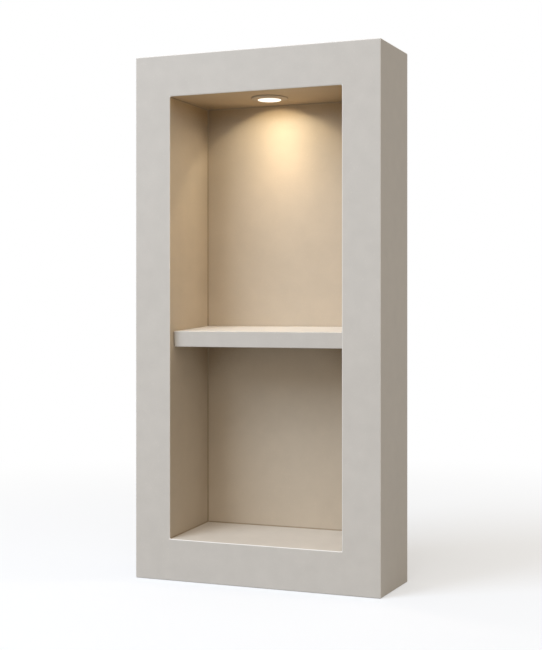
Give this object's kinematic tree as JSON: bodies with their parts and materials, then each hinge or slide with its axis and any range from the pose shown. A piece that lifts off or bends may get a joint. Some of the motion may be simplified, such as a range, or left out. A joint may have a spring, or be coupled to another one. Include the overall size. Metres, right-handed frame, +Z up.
{
  "type": "shower niche insert",
  "caption": "Tall framed wall niche insert for a shower, with a pitched shelf between an upper and a lower compartment and a small round downlight in its ceiling.",
  "frame": {"origin": "centre of the base, on the plane that it stands on", "axes": "+X to the right seen from the front, +Y towards the back of the recess, +Z up"},
  "size_m": [0.356, 0.116, 0.72],
  "materials": {
    "cast_stone": "matte",
    "pin_steel": "satin",
    "trim_paint": "matte",
    "gasket_silicone": "satin",
    "nut_plastic": "satin",
    "frosted_lens": "satin",
    "seal_rubber": "satin",
    "reflector_metal": "polished",
    "emitter_phosphor": "satin",
    "board_white": "satin",
    "thermal_rubber": "matte",
    "sink_aluminium": "satin",
    "gland_metal": "polished"
  },
  "bodies": {
    "root": {"niche_body": "cast_stone", "shelf": "cast_stone", "shelf_pins": "pin_steel", "trim_ring": "trim_paint", "ceiling_gasket": "gasket_silicone", "nut_washer": "nut_plastic", "ring_nut": "nut_plastic", "lens": "frosted_lens", "lens_seal": "seal_rubber", "reflector": "reflector_metal", "led_emitter": "emitter_phosphor", "led_board": "board_white", "thermal_pad": "thermal_rubber", "board_screws": "pin_steel", "lamp_housing": "sink_aluminium", "gland_body": "gland_metal", "gland_seal": "seal_rubber", "gland_nut": "gland_metal"}
  },
  "joints": []
}
